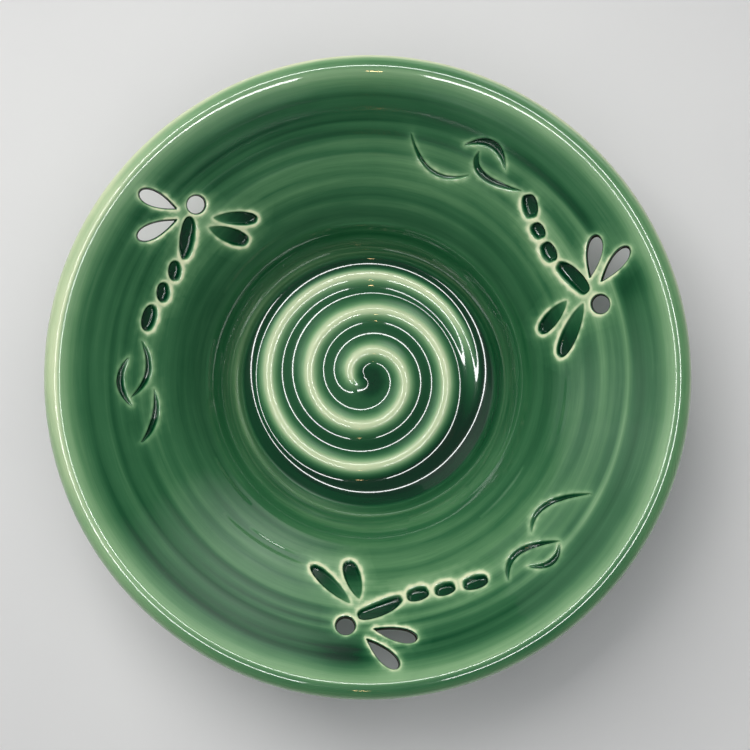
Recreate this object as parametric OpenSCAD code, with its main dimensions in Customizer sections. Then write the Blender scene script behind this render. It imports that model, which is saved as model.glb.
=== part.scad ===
// Wheel-thrown stoneware flower dish: a deep well with a thumb-drawn spiral on its floor,
// a wide flared wall with pierced and carved dragonflies, a rolled rim and a turned foot.
// Millimetres. +Z is up, the origin is the centre of the foot's resting plane.

/* [Overall] */
// Outer radius of the rolled rim
rim_r = 125; // [122:0.5:130]
// Height from the table to the crest of the rim
bowl_h = 67; // [64:0.5:72]

/* [Foot and floor] */
// Outer radius of the foot ring
foot_r = 50; // [48:0.5:51]
// Height of the foot ring
foot_h = 7; // [5:0.5:8]
// Width of the foot ring
foot_w = 8; // [6:0.5:10]
// Radius of the well's floor
well_r = 52; // [52:0.5:54]
// Thickness of the well's floor
floor_t = 6.5; // [5:0.5:8]

/* [Wall] */
// Thickness of the wall, square to its surface
wall_t = 4.8; // [4:0.1:6]
// Slope of the straight flare above the horizontal
flare_angle = 30; // [27:1:33]
// Slope of the wall where it leaves the well's floor
well_angle = 66; // [60:1:70]
// Radius where the curved well becomes the straight flare
flare_r = 88; // [84:1:90]

/* [Rim] */
// Distance from the rim's crest to its outer edge
lip_w = 5; // [4.5:0.5:6]
// Radius of the rim's inner shoulder
lip_shoulder = 5; // [4:0.5:6]
// Drop from the crest to the rim's widest line
lip_drop = 5.5; // [5:0.5:6.5]

/* [Spiral] */
// Distance between one turn of the spiral and the next
spiral_pitch = 17.5; // [16:0.5:18]
// Height of the spiral's ridge above the floor
ridge_h = 3; // [2:0.5:4]
// Width of the spiral's ridge
ridge_w = 13; // [10:0.5:14]

/* [Dragonflies] */
// Radius of the round stem hole at each dragonfly's head
stem_r = 3.75; // [3:0.25:4.5]
// Depth of the carved wings
wing_depth = 2.2; // [1:0.1:2.6]
// Depth of the carved body
body_depth = 2.4; // [1:0.1:2.8]
// Depth of the flight strokes behind the body
stroke_depth = 1.6; // [0.8:0.1:2]

/* [Hidden] */
$fn = 96;
glaze_green = [0.24, 0.47, 0.30];
pale_green = [0.50, 0.70, 0.48];
bare_clay = [0.72, 0.60, 0.46];

floor_z = foot_h + floor_t;
crest_r = rim_r - lip_w;
lip_r = crest_r - lip_shoulder * sin(flare_angle);
lip_z = bowl_h - lip_shoulder * (1 - cos(flare_angle));
flare_z = lip_z - (lip_r - flare_r) * tan(flare_angle);
well_steps = 9;
// Direction of a stretch of wall that has no cuts, where the revolved faces begin
clear_a = 225;

// Tangents of the well's curve meet at this point
bend_r = well_r + (flare_z - floor_z - (flare_r - well_r) * tan(flare_angle))
    / (tan(well_angle) - tan(flare_angle));
bend_z = floor_z + (bend_r - well_r) * tan(well_angle);

// Centre of the spiral, a little off the wheel's axis
spiral_centre = [-0.5, 1.5];

// Places on the wall are [radius, degrees past the head, counter-clockwise from above].
// Each cut is [start, end, width, bow, lean]: bow is how far its middle stands to the left of
// the straight line, and lean is where along the line the bow pulls, 0.5 being its middle.
heads = [[95.5, 135.5], [95.5, 16.5], [98, 265]];
pierced_wings = [
    [[[99.5, 4], [113, 6.5], 6, 0, 0.5], [[97, 6], [104.5, 14.5], 6, 0, 0.5]],
    [[[95.5, 7], [104.5, 14.5], 6, 0, 0.5], [[98.5, 5], [112, 9], 5.5, 0, 0.5]],
    [[[99, 6.5], [104, 15.5], 5.5, 0, 0.5], [[102.5, 5], [113, 11], 5.5, 0, 0.5]],
];
carved_wings = [
    [[[88, -0.5], [77.5, -10], 5.8, 0, 0.5], [[86.5, 2], [73, -3.5], 6.6, 0, 0.5]],
    [[[84.5, 4], [71.5, -2], 6.2, 0, 0.5], [[90, 2], [77, -10.5], 6.8, 0, 0.5]],
    [[[90, 1], [78.5, -11], 5.8, 0, 0.5], [[88, 3], [74, -1], 6.6, 0, 0.5]],
];
bodies = [
    [
        [[94.5, 3], [86.5, 12.5], 6.4, 0.5, 0.5], [[89, 14], [85.5, 18.8], 5.6, 0, 0.5],
        [[89, 20.3], [86.3, 25.3], 5.6, 0, 0.5], [[89.5, 26.7], [89.5, 33.7], 6.2, 0, 0.5],
    ],
    [
        [[92.5, 3.5], [87.3, 13.6], 7, -0.5, 0.5], [[86.5, 14.7], [87.5, 20.3], 6.4, 0, 0.5],
        [[88, 21.4], [89.2, 25.8], 5.8, 0, 0.5], [[90, 27], [95.2, 31.8], 6.6, 0, 0.5],
    ],
    [
        [[94.5, 2.5], [88.5, 13.5], 6.4, -0.5, 0.5], [[88.5, 14.8], [88, 20.6], 6.2, 0, 0.5],
        [[89, 21.9], [89.5, 27.3], 5.8, 0, 0.5], [[90.5, 29], [92.5, 35.2], 6.1, 0, 0.5],
    ],
];
// How full the ends of each dragonfly's body cuts are: 1 is an oval, 0.6 nearly a block
body_taper = [0.85, 0.62, 0.65];
strokes = [
    [
        [[90.5, 36.5], [93.5, 50.5], 2.6, 5, 0.5], [[94.5, 41], [93.5, 52.5], 2.8, -4, 0.5],
        [[85, 49], [93, 62], 2.8, 3, 0.5],
    ],
    [
        [[95, 33.5], [98.5, 47], 3, 6, 0.85], [[97.5, 39.5], [98.5, 50.5], 3.2, -6, 0.5],
        [[89.5, 47], [97, 63.5], 1.8, 7.5, 0.4],
    ],
    [
        [[97.5, 39], [99, 53.5], 2.8, 7, 0.25], [[97.5, 44.5], [99.5, 53], 2.6, -4, 0.6],
        [[89.5, 51], [98.5, 66.5], 2.4, 6.5, 0.25],
    ],
];

// ---- shapes that repeat ----

function arc(r, z, rx, rz, from, to, n) = [
    for (i = [0 : n]) let (a = from + (to - from) * i / n) [r + rx * cos(a), z + rz * sin(a)]
];

// The well's inner face is a parabola between its two tangents
function well_point(t) = [
    pow(1 - t, 2) * well_r + 2 * t * (1 - t) * bend_r + t * t * flare_r,
    pow(1 - t, 2) * floor_z + 2 * t * (1 - t) * bend_z + t * t * flare_z
];
function well_slope(t) = atan2(
    (1 - t) * (bend_z - floor_z) + t * (flare_z - bend_z),
    (1 - t) * (bend_r - well_r) + t * (flare_r - bend_r)
);
function under(point, slope) = point + wall_t * [sin(slope), -cos(slope)];

// Height and slope of the inner face at a radius, by stepping along the well's parabola
function well_t(r) = let (
    a = well_r - 2 * bend_r + flare_r,
    b = 2 * (bend_r - well_r),
    c = well_r - r
) (-b + sqrt(b * b - 4 * a * c)) / (2 * a);
function wall_z(r) = r < flare_r ? well_point(well_t(r))[1]
    : flare_z + (r - flare_r) * tan(flare_angle);
function wall_slope(r) = r < flare_r ? well_slope(well_t(r)) : flare_angle;

// Puts its children square on the inner face, +X pointing up the wall
module on_wall(r, a) {
    rotate([0, 0, a]) translate([r, 0, wall_z(r)]) rotate([0, -wall_slope(r), 0]) children();
}

// Puts its children at the start of a cut, +X along the cut's run
module along(cut, head_a) {
    mid_a = (cut[0][1] + cut[1][1]) / 2;
    p = [for (e = [0, 1]) cut[e][0] * [cos(cut[e][1] - mid_a), sin(cut[e][1] - mid_a)]];
    mid_r = (p[0][0] + p[1][0]) / 2;
    on_wall(mid_r, head_a + mid_a)
        rotate([0, 0, run_angle(p, mid_r)])
        translate([-run_length(p, mid_r) / 2, 0, 0])
        children();
}
function run(p, mid_r) = [(p[1][0] - p[0][0]) / cos(wall_slope(mid_r)), p[1][1] - p[0][1]];
function run_angle(p, mid_r) = let (d = run(p, mid_r)) atan2(d[1], d[0]);
function run_length(p, mid_r) = norm(run(p, mid_r));
function cut_length(cut) = let (
    mid_a = (cut[0][1] + cut[1][1]) / 2,
    p = [for (e = [0, 1]) cut[e][0] * [cos(cut[e][1] - mid_a), sin(cut[e][1] - mid_a)]]
) run_length(p, (p[0][0] + p[1][0]) / 2);

// A leaf outline from the origin along +X. point: 0 is an ellipse, 1 a teardrop with its tip
// at the origin. taper: below 1 has blunt ends, 1 has round ones, 2 draws both out to a point.
function leaf(length, width, bow, lean, point, taper, n) = let (
    widest = acos(-point / (point + 2)),
    full = sin(widest) * pow(sin(widest / 2), point)
) [
    for (i = [0 : n - 1]) let (
        u = 360 * (i + 0.5) / n,
        t = (1 - cos(u)) / 2,
        middle = [2 * t * (1 - t) * lean * length + t * t * length, 4 * bow * t * (1 - t)],
        ahead = [2 * (1 - 2 * t) * lean * length + 2 * t * length, 4 * bow * (1 - 2 * t)],
        s = sin(u),
        side = sign(s) * pow(abs(s), taper) * pow(abs(sin(u / 2)), point) / full
    ) middle + width / 2 * side * [-ahead[1], ahead[0]] / norm(ahead)
];

module knife(cut, head_a, depth, point, taper) {
    along(cut, head_a)
        translate([0, 0, -depth])
        linear_extrude(depth + wall_t)
        polygon(leaf(cut_length(cut), cut[2], cut[3], cut[4], point, taper, 20));
}

// ---- one dragonfly's cuts ----

module stem_hole(i) {
    on_wall(heads[i][0], heads[i][1])
        translate([0, 0, -2 * wall_t])
        cylinder(h = 4 * wall_t, r = stem_r);
}

module dragonfly(i) {
    head_a = heads[i][1];
    stem_hole(i);
    for (cut = pierced_wings[i]) knife(cut, head_a, 2 * wall_t, 1, 1);
    for (cut = carved_wings[i]) knife(cut, head_a, wing_depth, 0.6, 0.85);
    for (cut = bodies[i]) knife(cut, head_a, body_depth, 0, body_taper[i]);
    for (cut = strokes[i]) knife(cut, head_a, stroke_depth, 0, 2);
}

// ---- sub-parts ----

module foot_ring() {
    edge = 1;
    inner_r = foot_r - foot_w;
    color(bare_clay) rotate_extrude() polygon([
        [inner_r + edge, 0], [foot_r - edge, 0], [foot_r, edge],
        [foot_r, foot_h], [inner_r - edge, foot_h], [inner_r, edge],
    ]);
}

module well_floor() {
    color(glaze_green) translate([0, 0, foot_h]) cylinder(h = floor_t, r = well_r);
}

// The ridge winds clockwise outwards and dies into the floor's edge
function ridge_r(turn) = let (r = spiral_pitch * (turn + 0.4), last = well_r - 7)
    r < last - 4 ? r : last - 4 * exp(-(r - last + 4) / 4);
function ridge_half(turn, last_turn) = min(
    ridge_w / 2, well_r - 0.5 - norm(spiral_centre) - ridge_r(turn), ridge_r(turn) - 0.5,
    1 + 14 * (last_turn - turn)
);

module spiral_ridge() {
    last_turn = 2.5;
    steps = 96;
    section = [[-1, 0], [-0.6, 0.65], [0, 1], [0.6, 0.65], [1, 0]];
    n = len(section);
    points = [
        for (i = [0 : steps]) let (
            turn = last_turn * i / steps - 0.2 * (1 - i / steps),
            a = 180 - 360 * turn,
            half = ridge_half(turn, last_turn),
            h = ridge_h * min(1, half / (ridge_w / 2) + 0.15)
        )
        for (s = section) let (r = ridge_r(turn) + s[0] * half)
            [each spiral_centre + r * [cos(a), sin(a)], floor_z + s[1] * h]
    ];
    sides = [
        for (i = [0 : steps - 1]) for (j = [0 : n - 1]) let (k = (j + 1) % n)
            [i * n + j, i * n + k, (i + 1) * n + k, (i + 1) * n + j]
    ];
    start_cap = [[for (j = [0 : n - 1]) n - 1 - j]];
    end_cap = [[for (j = [0 : n - 1]) steps * n + j]];
    color(pale_green) polyhedron(points, concat(sides, start_cap, end_cap), convexity = 8);
}

module pierced_wall() {
    inner = [for (i = [0 : well_steps]) well_point(i / well_steps)];
    outer = [
        for (i = [well_steps : -1 : 0]) let (t = i / well_steps)
            under(well_point(t), well_slope(t))
    ];
    heel = [[well_r + 2, foot_h], [well_r, foot_h]];
    lip = [[lip_r, lip_z], under([lip_r, lip_z], flare_angle)];
    color(glaze_green) difference() {
        rotate([0, 0, clear_a]) rotate_extrude() polygon(concat(inner, lip, outer, heel));
        for (i = [0 : len(heads) - 1]) dragonfly(i);
    }
}

module rolled_rim() {
    bead = 1.8;
    shoulder = arc(crest_r, bowl_h - lip_shoulder, lip_shoulder, lip_shoulder,
        90 + flare_angle, 90, 4);
    brow = arc(crest_r, bowl_h - lip_drop, lip_w, lip_drop, 78, 0, 7);
    edge = arc(rim_r - bead, bowl_h - lip_drop, bead, bead, -30, -120, 4);
    throat = [under([lip_r, lip_z], flare_angle)];
    color(pale_green) rotate_extrude() polygon(concat(shoulder, brow, edge, throat));
}

foot_ring();
well_floor();
spiral_ridge();
pierced_wall();
rolled_rim();
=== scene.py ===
"""A wheel-thrown green-glazed flower dish with pierced dragonflies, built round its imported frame.

Lengths are millimetres until a mesh is made. Angles are degrees, counter-clockwise from +X as
seen from above. Every piece is a closed mesh that stands for one CAD node, and neighbours share
one surface formula, so the glaze runs over their joins unbroken.
"""
import copy
import math

import bpy
import numpy as np
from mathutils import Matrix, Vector
from mathutils.geometry import delaunay_2d_cdt


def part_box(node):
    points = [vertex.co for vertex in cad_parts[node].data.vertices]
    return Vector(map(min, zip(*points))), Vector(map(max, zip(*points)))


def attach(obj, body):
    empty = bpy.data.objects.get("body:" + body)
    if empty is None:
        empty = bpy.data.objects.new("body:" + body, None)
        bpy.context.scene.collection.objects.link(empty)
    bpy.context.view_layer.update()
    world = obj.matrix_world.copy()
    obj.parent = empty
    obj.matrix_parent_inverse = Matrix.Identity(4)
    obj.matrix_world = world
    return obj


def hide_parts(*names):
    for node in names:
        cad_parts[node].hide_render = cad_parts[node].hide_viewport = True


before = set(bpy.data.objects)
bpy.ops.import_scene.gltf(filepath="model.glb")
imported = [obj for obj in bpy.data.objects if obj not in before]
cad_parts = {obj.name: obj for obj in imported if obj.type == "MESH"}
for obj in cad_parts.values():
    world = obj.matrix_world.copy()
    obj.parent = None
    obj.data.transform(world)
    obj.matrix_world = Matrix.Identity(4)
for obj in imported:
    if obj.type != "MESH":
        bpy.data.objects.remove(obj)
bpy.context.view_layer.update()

MM = 0.001


def top_corner(node):
    """Highest corner of a CAD node, in millimetres."""
    return np.array(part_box(node)[1]) / MM


# ---- sizes: the first are read from the frame, the others repeat the CAD source ----

RIM_R, _, BOWL_H = top_corner("rolled_rim")
LIP_Z = top_corner("pierced_wall")[2]
WELL_R, _, FLOOR_Z = top_corner("well_floor")
FOOT_R, _, FOOT_H = top_corner("foot_ring")
FOOT_W = 8.0
WALL_T = 4.8
FLARE_SLOPE = math.radians(30)
WELL_SLOPE = math.radians(66)
FLARE_R = 88.0
LIP_W = 5.0
SHOULDER = 5.0
LIP_DROP = 5.5
CREST_R = RIM_R - LIP_W
LIP_R = CREST_R - SHOULDER * math.sin(FLARE_SLOPE)
FLARE_Z = LIP_Z - (LIP_R - FLARE_R) * math.tan(FLARE_SLOPE)
BEND_R = WELL_R + (FLARE_Z - FLOOR_Z - (FLARE_R - WELL_R) * math.tan(FLARE_SLOPE)) / (
    math.tan(WELL_SLOPE) - math.tan(FLARE_SLOPE))
BEND_Z = FLOOR_Z + (BEND_R - WELL_R) * math.tan(WELL_SLOPE)

# The glazed floor curves up near its edge into a shallow moat, and a tight corner joins the wall
VALLEY_Z = FLOOR_Z + 0.3
MOAT_START = 45.0
MOAT_R = 10.0
MOAT_SLOPE = math.radians(19.5)
CORNER_R = 2.2
SECTION_START = 40.0

SPIRAL_CENTRE = (-0.5, 1.5)
SPIRAL_PITCH = 17.5
SPIRAL_HEIGHT = 2.2
SPIRAL_LAPS = 2.5

STEM_R = 3.75
WING_DEPTH = 2.2
BODY_DEPTH = 2.4
STROKE_DEPTH = 1.6

# Places are [radius, degrees past the head]. A cut is [start, end, width, bow, lean].
HEADS = [[95.5, 135.5], [95.5, 16.5], [98, 265]]
PIERCED_WINGS = [
    [[[99.5, 4], [113, 6.5], 6, 0, 0.5], [[97, 6], [104.5, 14.5], 6, 0, 0.5]],
    [[[95.5, 7], [104.5, 14.5], 6, 0, 0.5], [[98.5, 5], [112, 9], 5.5, 0, 0.5]],
    [[[99, 6.5], [104, 15.5], 5.5, 0, 0.5], [[102.5, 5], [113, 11], 5.5, 0, 0.5]],
]
CARVED_WINGS = [
    [[[88, -0.5], [77.5, -10], 5.8, 0, 0.5], [[86.5, 2], [73, -3.5], 6.6, 0, 0.5]],
    [[[84.5, 4], [71.5, -2], 6.2, 0, 0.5], [[90, 2], [77, -10.5], 6.8, 0, 0.5]],
    [[[90, 1], [78.5, -11], 5.8, 0, 0.5], [[88, 3], [74, -1], 6.6, 0, 0.5]],
]
BODIES = [
    [[[94.5, 3], [86.5, 12.5], 6.4, 0.5, 0.5], [[89, 14], [85.5, 18.8], 5.6, 0, 0.5],
     [[89, 20.3], [86.3, 25.3], 5.6, 0, 0.5], [[89.5, 26.7], [89.5, 33.7], 6.2, 0, 0.5]],
    [[[92.5, 3.5], [87.3, 13.6], 7, -0.5, 0.5], [[86.5, 14.7], [87.5, 20.3], 6.4, 0, 0.5],
     [[88, 21.4], [89.2, 25.8], 5.8, 0, 0.5], [[90, 27], [95.2, 31.8], 6.6, 0, 0.5]],
    [[[94.5, 2.5], [88.5, 13.5], 6.4, -0.5, 0.5], [[88.5, 14.8], [88, 20.6], 6.2, 0, 0.5],
     [[89, 21.9], [89.5, 27.3], 5.8, 0, 0.5], [[90.5, 29], [92.5, 35.2], 6.1, 0, 0.5]],
]
BODY_TAPER = [0.85, 0.62, 0.65]
STROKES = [
    [[[90.5, 36.5], [93.5, 50.5], 2.6, 5, 0.5], [[94.5, 41], [93.5, 52.5], 2.8, -4, 0.5],
     [[85, 49], [93, 62], 2.8, 3, 0.5]],
    [[[95, 33.5], [98.5, 47], 3, 6, 0.85], [[97.5, 39.5], [98.5, 50.5], 3.2, -6, 0.5],
     [[89.5, 47], [97, 63.5], 1.8, 7.5, 0.4]],
    [[[97.5, 39], [99, 53.5], 2.8, 7, 0.25], [[97.5, 44.5], [99.5, 53], 2.6, -4, 0.6],
     [[89.5, 51], [98.5, 66.5], 2.4, 6.5, 0.25]],
]

# Direction of a stretch of wall with no cuts, where the unrolled wall is cut open
SEAM = math.radians(225)
COLUMNS = 640


def ease(x):
    """0 below 0, 1 above 1, and a soft step between."""
    x = np.clip(x, 0, 1)
    return x * x * (3 - 2 * x)


def polar(r, angle, *height):
    """Points at a radius and a direction, flat ones or at a height."""
    return np.stack(np.broadcast_arrays(r * np.cos(angle), r * np.sin(angle), *height), -1)


# ---- the dish's section ----

def well_point(t):
    """The CAD wall's curved inner face, 0 at the floor and 1 at the straight flare."""
    t = np.asarray(t, float)
    r = (1 - t) ** 2 * WELL_R + 2 * t * (1 - t) * BEND_R + t * t * FLARE_R
    z = (1 - t) ** 2 * FLOOR_Z + 2 * t * (1 - t) * BEND_Z + t * t * FLARE_Z
    return np.stack([r, z], -1)


def well_slope(t):
    t = np.asarray(t, float)
    return np.arctan2((1 - t) * (BEND_Z - FLOOR_Z) + t * (FLARE_Z - BEND_Z),
                      (1 - t) * (BEND_R - WELL_R) + t * (FLARE_R - BEND_R))


def arc(r, z, rx, rz, start, end, count):
    a = np.radians(np.linspace(start, end, count))
    return np.stack([r + rx * np.cos(a), z + rz * np.sin(a)], -1)


def under(points, slope, depth=WALL_T):
    """Points at a depth below the inner face, by default on the outer face."""
    return points + depth * np.stack([np.sin(slope), -np.cos(slope)], -1)


_T = np.linspace(0, 1, 200)
_WELL = well_point(_T)
WALL_RADII = np.append(_WELL[:, 0], LIP_R)
WALL_HEIGHTS = np.append(_WELL[:, 1], LIP_Z)
WALL_SLOPES = np.append(well_slope(_T), FLARE_SLOPE)


def corner_line():
    """From the flat floor, up the moat and round the tight corner to the wall."""
    moat_end = math.degrees(MOAT_SLOPE) - 90
    moat = arc(MOAT_START, VALLEY_Z + MOAT_R, MOAT_R, MOAT_R, -90, moat_end, 12)
    centres = under(_WELL, WALL_SLOPES[:-1], -CORNER_R)
    foot = moat[-1]
    reach = (centres - foot) @ [-math.sin(MOAT_SLOPE), math.cos(MOAT_SLOPE)]
    touch = int(np.argmax(reach > CORNER_R))
    wall_end = math.degrees(WALL_SLOPES[touch]) - 90
    corner = arc(*centres[touch], CORNER_R, CORNER_R, moat_end, wall_end, 12)
    return np.vstack([[SECTION_START, VALLEY_Z], moat, corner]), touch


CORNER_LINE, WALL_START = corner_line()


def lengths(line):
    return np.append(0, np.cumsum(np.hypot(*np.diff(line, axis=0).T)))


def along(line, length, places):
    return np.stack([np.interp(places, length, line[:, i]) for i in (0, 1)], -1)


class Section:
    """The glazed outline from the floor, up the wall, over the rim and down to the heel.

    Places along it are lengths from the edge of the floor's disc.
    """

    STEP = 0.05
    INNER = slice(0, 2000)  # samples that all lie well below the rim, on the inner face
    MARGIN = 12  # samples kept past the lip or the throat

    def __init__(self):
        well = _WELL[WALL_START + 1:]
        bead = 1.8  # radius of the rim's lower edge
        lip = np.array([LIP_R, LIP_Z])
        throat = under(lip, FLARE_SLOPE)
        t = np.linspace(1, 0, 60)
        stretches = [
            CORNER_LINE, well, [lip],
            arc(CREST_R, BOWL_H - SHOULDER, SHOULDER, SHOULDER, 118, 90, 12),
            arc(CREST_R, BOWL_H - LIP_DROP, LIP_W, LIP_DROP, 84, 0, 20),
            arc(RIM_R - bead, BOWL_H - LIP_DROP, bead, bead, -20, -110, 8),
            [throat], under(well_point(t), well_slope(t)), [[WELL_R + 2, FOOT_H]],
        ]
        line = np.vstack(stretches)
        length = lengths(line)
        lip, throat = (float(length[np.argmin(np.hypot(*(line - p).T))]) for p in (lip, throat))
        self.s = np.linspace(0, length[-1], int(length[-1] / self.STEP))
        self.line = self.softened(along(line, length, self.s))
        edge = float(np.interp(WELL_R, self.line[self.INNER, 0], self.s[self.INNER]))
        tangent = np.gradient(self.line, self.s, axis=0)
        tangent /= np.hypot(*tangent.T)[:, None]
        self.normal = np.stack([-tangent[:, 1], tangent[:, 0]], -1)
        self.s -= edge
        self.lip, self.throat = lip - edge, throat - edge
        self.heel = float(self.s[-1])

    @staticmethod
    def softened(line, sigma=11):
        """Rounds the corners by about half a millimetre and keeps both ends."""
        reach = 3 * sigma
        taps = np.exp(-0.5 * (np.arange(-reach, reach + 1) / sigma) ** 2)
        taps /= taps.sum()
        before = 2 * line[0] - line[reach:0:-1]
        after = 2 * line[-1] - line[-2:-reach - 2:-1]
        padded = np.vstack([before, line, after])
        return np.stack([np.convolve(padded[:, i], taps, "valid") for i in (0, 1)], -1)

    def at(self, s, values):
        return np.interp(s, self.s, values)

    def radius(self, s):
        return self.at(s, self.line[:, 0])

    def inner_s(self, r):
        """Place along the inner face at a radius."""
        last = int(np.searchsorted(self.s, self.lip)) + self.MARGIN
        return np.interp(r, self.line[:last, 0], self.s[:last])

    def outer_s(self, r):
        """Place along the outer face at a radius."""
        first = int(np.searchsorted(self.s, self.throat)) - self.MARGIN
        return np.interp(-r, -self.line[first:, 0], self.s[first:])


SECTION = Section()


def corner_rise(r):
    """How far the floor's edge curves up above the floor's level."""
    return np.interp(r, *SECTION.line[Section.INNER].T) - VALLEY_Z


# ---- the dragonflies' cuts ----

def leaf(length, width, bow, lean, point, taper, count=160):
    """The same leaf outline as the CAD's, along +x from the origin."""
    widest = math.acos(-point / (point + 2))
    full = math.sin(widest) * math.sin(widest / 2) ** point
    u = 2 * math.pi * (np.arange(count) + 0.5) / count
    t = (1 - np.cos(u)) / 2
    middle = np.stack([2 * t * (1 - t) * lean * length + t * t * length, 4 * bow * t * (1 - t)], -1)
    ahead = np.stack([2 * (1 - 2 * t) * lean * length + 2 * t * length, 4 * bow * (1 - 2 * t)], -1)
    side = np.sign(np.sin(u)) * np.abs(np.sin(u)) ** taper * np.abs(np.sin(u / 2)) ** point / full
    across = np.stack([-ahead[:, 1], ahead[:, 0]], -1) / np.hypot(*ahead.T)[:, None]
    return middle + width / 2 * side[:, None] * across


def evenly(outline, step):
    """Points along a closed outline, about step apart."""
    closed = np.vstack([outline, outline[:1]])
    length = lengths(closed)
    count = max(12, int(length[-1] / step))
    return along(closed, length, np.arange(count) * length[-1] / count)


def outline_distance(points, outline):
    """Distance to a closed outline, below 0 inside it."""
    a, b = outline, np.roll(outline, -1, axis=0)
    ab = b - a
    ap = points[:, None, :] - a[None]
    t = np.clip((ap * ab).sum(-1) / (ab * ab).sum(-1), 0, 1)
    gap = np.hypot(*np.moveaxis(ap - t[..., None] * ab, -1, 0)).min(1)
    above_a = points[:, None, 1] >= a[None, :, 1]
    above_b = points[:, None, 1] >= b[None, :, 1]
    turn = ab[None, :, 0] * ap[..., 1] - ab[None, :, 1] * ap[..., 0]
    crossings = (above_a & ~above_b & (turn < 0)) | (~above_a & above_b & (turn > 0))
    return np.where(crossings.sum(1) % 2 == 1, -gap, gap)


class Cut:
    """One knife cut: an outline in a plane that lies on the wall's inner face.

    outline is the coarser copy of shape that the mesh follows. slant makes the near end
    shallower, and gentle the side nearer the well. A cut with no depth goes right through.
    """

    REACH = 6.0  # how far round its outline a cut changes the wall
    FACING = 15.0  # how far off its plane, which leaves out the far side of the dish
    STEP = 0.5
    EXIT_SIZE = 0.93
    EXIT_DROP = 0.9

    def __init__(self, r, angle, outline, turn=0.0, depth=None, slant=0.0, gentle=0.0, halo=1.0,
                 half_width=None, length=0.0):
        a, slope = math.radians(angle), np.interp(r, WALL_RADII, WALL_SLOPES)
        up = np.array([np.cos(slope) * np.cos(a), np.cos(slope) * np.sin(a), np.sin(slope)])
        across = np.array([-np.sin(a), np.cos(a), 0])
        height = np.interp(r, WALL_RADII, WALL_HEIGHTS)
        self.origin = np.array([r * np.cos(a), r * np.sin(a), height])
        self.axes = np.stack([np.cos(turn) * up + np.sin(turn) * across,
                              np.cos(turn) * across - np.sin(turn) * up])
        self.inward = np.cross(up, across)
        self.shape = outline - [length / 2, 0]
        self.outline = evenly(self.shape, self.STEP)
        if np.cross(self.outline, np.roll(self.outline, -1, 0)).sum() < 0:
            self.outline = self.outline[::-1]
        self.middle = self.outline.mean(0)
        self.uphill = np.array([math.cos(turn), -math.sin(turn)])
        self.pierced = depth is None
        self.depth, self.slant, self.gentle, self.halo = depth, slant, gentle, halo
        self.half_width, self.length = half_width, length
        self.low, self.high = self.outline.min(0) - self.REACH, self.outline.max(0) + self.REACH

    def local(self, points):
        return (points - self.origin) @ self.axes.T

    def world(self, flat, drop=0.0):
        return self.origin + flat @ self.axes - drop * self.inward

    def near(self, points):
        """Numbers of the points that the cut can reach, and their places in its plane."""
        flat = self.local(points)
        facing = (points - self.origin) @ self.inward
        inside = (flat > self.low).all(1) & (flat < self.high).all(1)
        chosen = np.nonzero(inside & (abs(facing) < self.FACING))[0]
        return chosen, flat[chosen]

    def exit(self):
        """The same hole as it leaves the outer face, a little smaller and lower on the wall."""
        def lowered(outline):
            shrunk = self.EXIT_SIZE * (outline - self.middle)
            return self.middle + shrunk - self.EXIT_DROP * self.uphill
        mouth = copy.copy(self)
        mouth.outline, mouth.shape = lowered(self.outline), lowered(self.shape)
        return mouth

    def loop(self, offset):
        """The outline moved outwards, without the points that came too near."""
        ahead = np.roll(self.outline, -1, 0) - np.roll(self.outline, 1, 0)
        out = np.stack([ahead[:, 1], -ahead[:, 0]], -1) / np.hypot(*ahead.T)[:, None]
        moved = self.outline + out * offset
        if offset == 0:
            return moved
        gap = outline_distance(moved, self.outline)
        return moved[abs(gap) > 0.85 * abs(offset)]


def knife(cut, head_angle, point, taper, **carved):
    """A leaf-shaped cut. point and taper are its outline's, as in the CAD."""
    (r0, a0), (r1, a1), width, bow, lean = cut
    mid = (a0 + a1) / 2
    ends = np.array([[r * math.cos(math.radians(a - mid)), r * math.sin(math.radians(a - mid))]
                     for r, a in ((r0, a0), (r1, a1))])
    mid_r = ends[:, 0].mean()
    run = (ends[1] - ends[0]) / [math.cos(np.interp(mid_r, WALL_RADII, WALL_SLOPES)), 1]
    length = float(np.hypot(*run))
    outline = leaf(length, width, bow, lean, point, taper)

    def half_width(x):
        t = np.clip(x / length + 0.5, 0.002, 0.998)
        return width / 2 * (2 * np.sqrt(t * (1 - t))) ** taper * t ** (point / 2)
    return Cut(mid_r, head_angle + mid, outline, math.atan2(run[1], run[0]),
               half_width=half_width, length=length, **carved)


def make_cuts():
    """Every cut of the three dragonflies."""
    wing = {"depth": WING_DEPTH, "slant": 0.75, "gentle": 0.3}
    body = {"depth": BODY_DEPTH, "slant": 0.2, "gentle": 1.3}
    stroke = {"depth": STROKE_DEPTH, "slant": 0.2, "gentle": 0.5, "halo": 0.5}
    circle = polar(STEM_R, 2 * np.pi * _T[:-1])
    cuts = []
    for i, (head_r, head_angle) in enumerate(HEADS):
        cuts.append(Cut(head_r, head_angle, circle))
        cuts += [knife(c, head_angle, 1, 1) for c in PIERCED_WINGS[i]]
        cuts += [knife(c, head_angle, 0.6, 0.85, **wing) for c in CARVED_WINGS[i]]
        cuts += [knife(c, head_angle, 0, BODY_TAPER[i], **body) for c in BODIES[i]]
        cuts += [knife(c, head_angle, 0, 1.6, **stroke) for c in STROKES[i]]
    return cuts


CUTS = make_cuts()
EXITS = [c.exit() for c in CUTS if c.pierced]

# Rounding of a hole's glazed edge, and how far a hollow's slope reaches out and in
EDGE_R = 0.8
LIP_OUT = 0.35
LIP_IN = 0.95
# The pale halo is a line just outside a cut and a glow round it: how strong, how soft
HALO_PLACE = 0.6
HALO_HALF_WIDTH = 0.35
HALO_LINE = (0.60, 0.5)
HALO_GLOW = (0.45, 2.5)


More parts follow.
